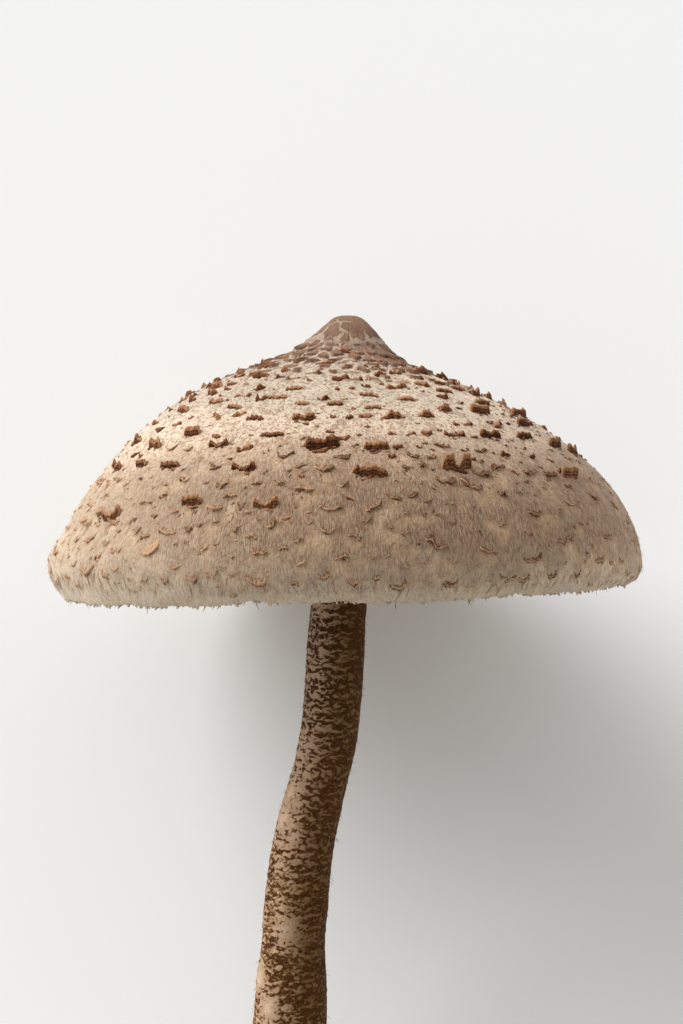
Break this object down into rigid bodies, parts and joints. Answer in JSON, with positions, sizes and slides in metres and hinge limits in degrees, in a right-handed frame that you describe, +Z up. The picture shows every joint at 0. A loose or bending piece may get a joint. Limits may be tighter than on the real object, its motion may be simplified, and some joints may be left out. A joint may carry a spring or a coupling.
{
  "type": "parasol mushroom",
  "caption": "Parasol mushroom picked whole and laid on its side: scaly half-open cap, crowded gills, banded curved stem with a bulb, and a loose double-edged ring.",
  "frame": {"origin": "middle of the part's box in plan, at the height of the surface it lies on", "axes": "+Z up from that surface, +Y along the mushroom from its bulb towards its cap, +X to the right seen from the bulb"},
  "size_m": [0.1404, 0.224, 0.1338],
  "materials": {
    "cap_skin": "matt cream skin with a brown umbo, dark brown ragged scales and a fibrous tan margin",
    "gill_flesh": "soft matt cream gills, slightly translucent at their edges",
    "stem_skin": "dry skin with brown zigzag bands on pale beige",
    "ring_felt": "soft felt, whitish above and brown at the lower edge"
  },
  "bodies": {
    "root": {"cap": "cap_skin", "gills": "gill_flesh", "stem": "stem_skin", "ring": "ring_felt"}
  },
  "joints": []
}
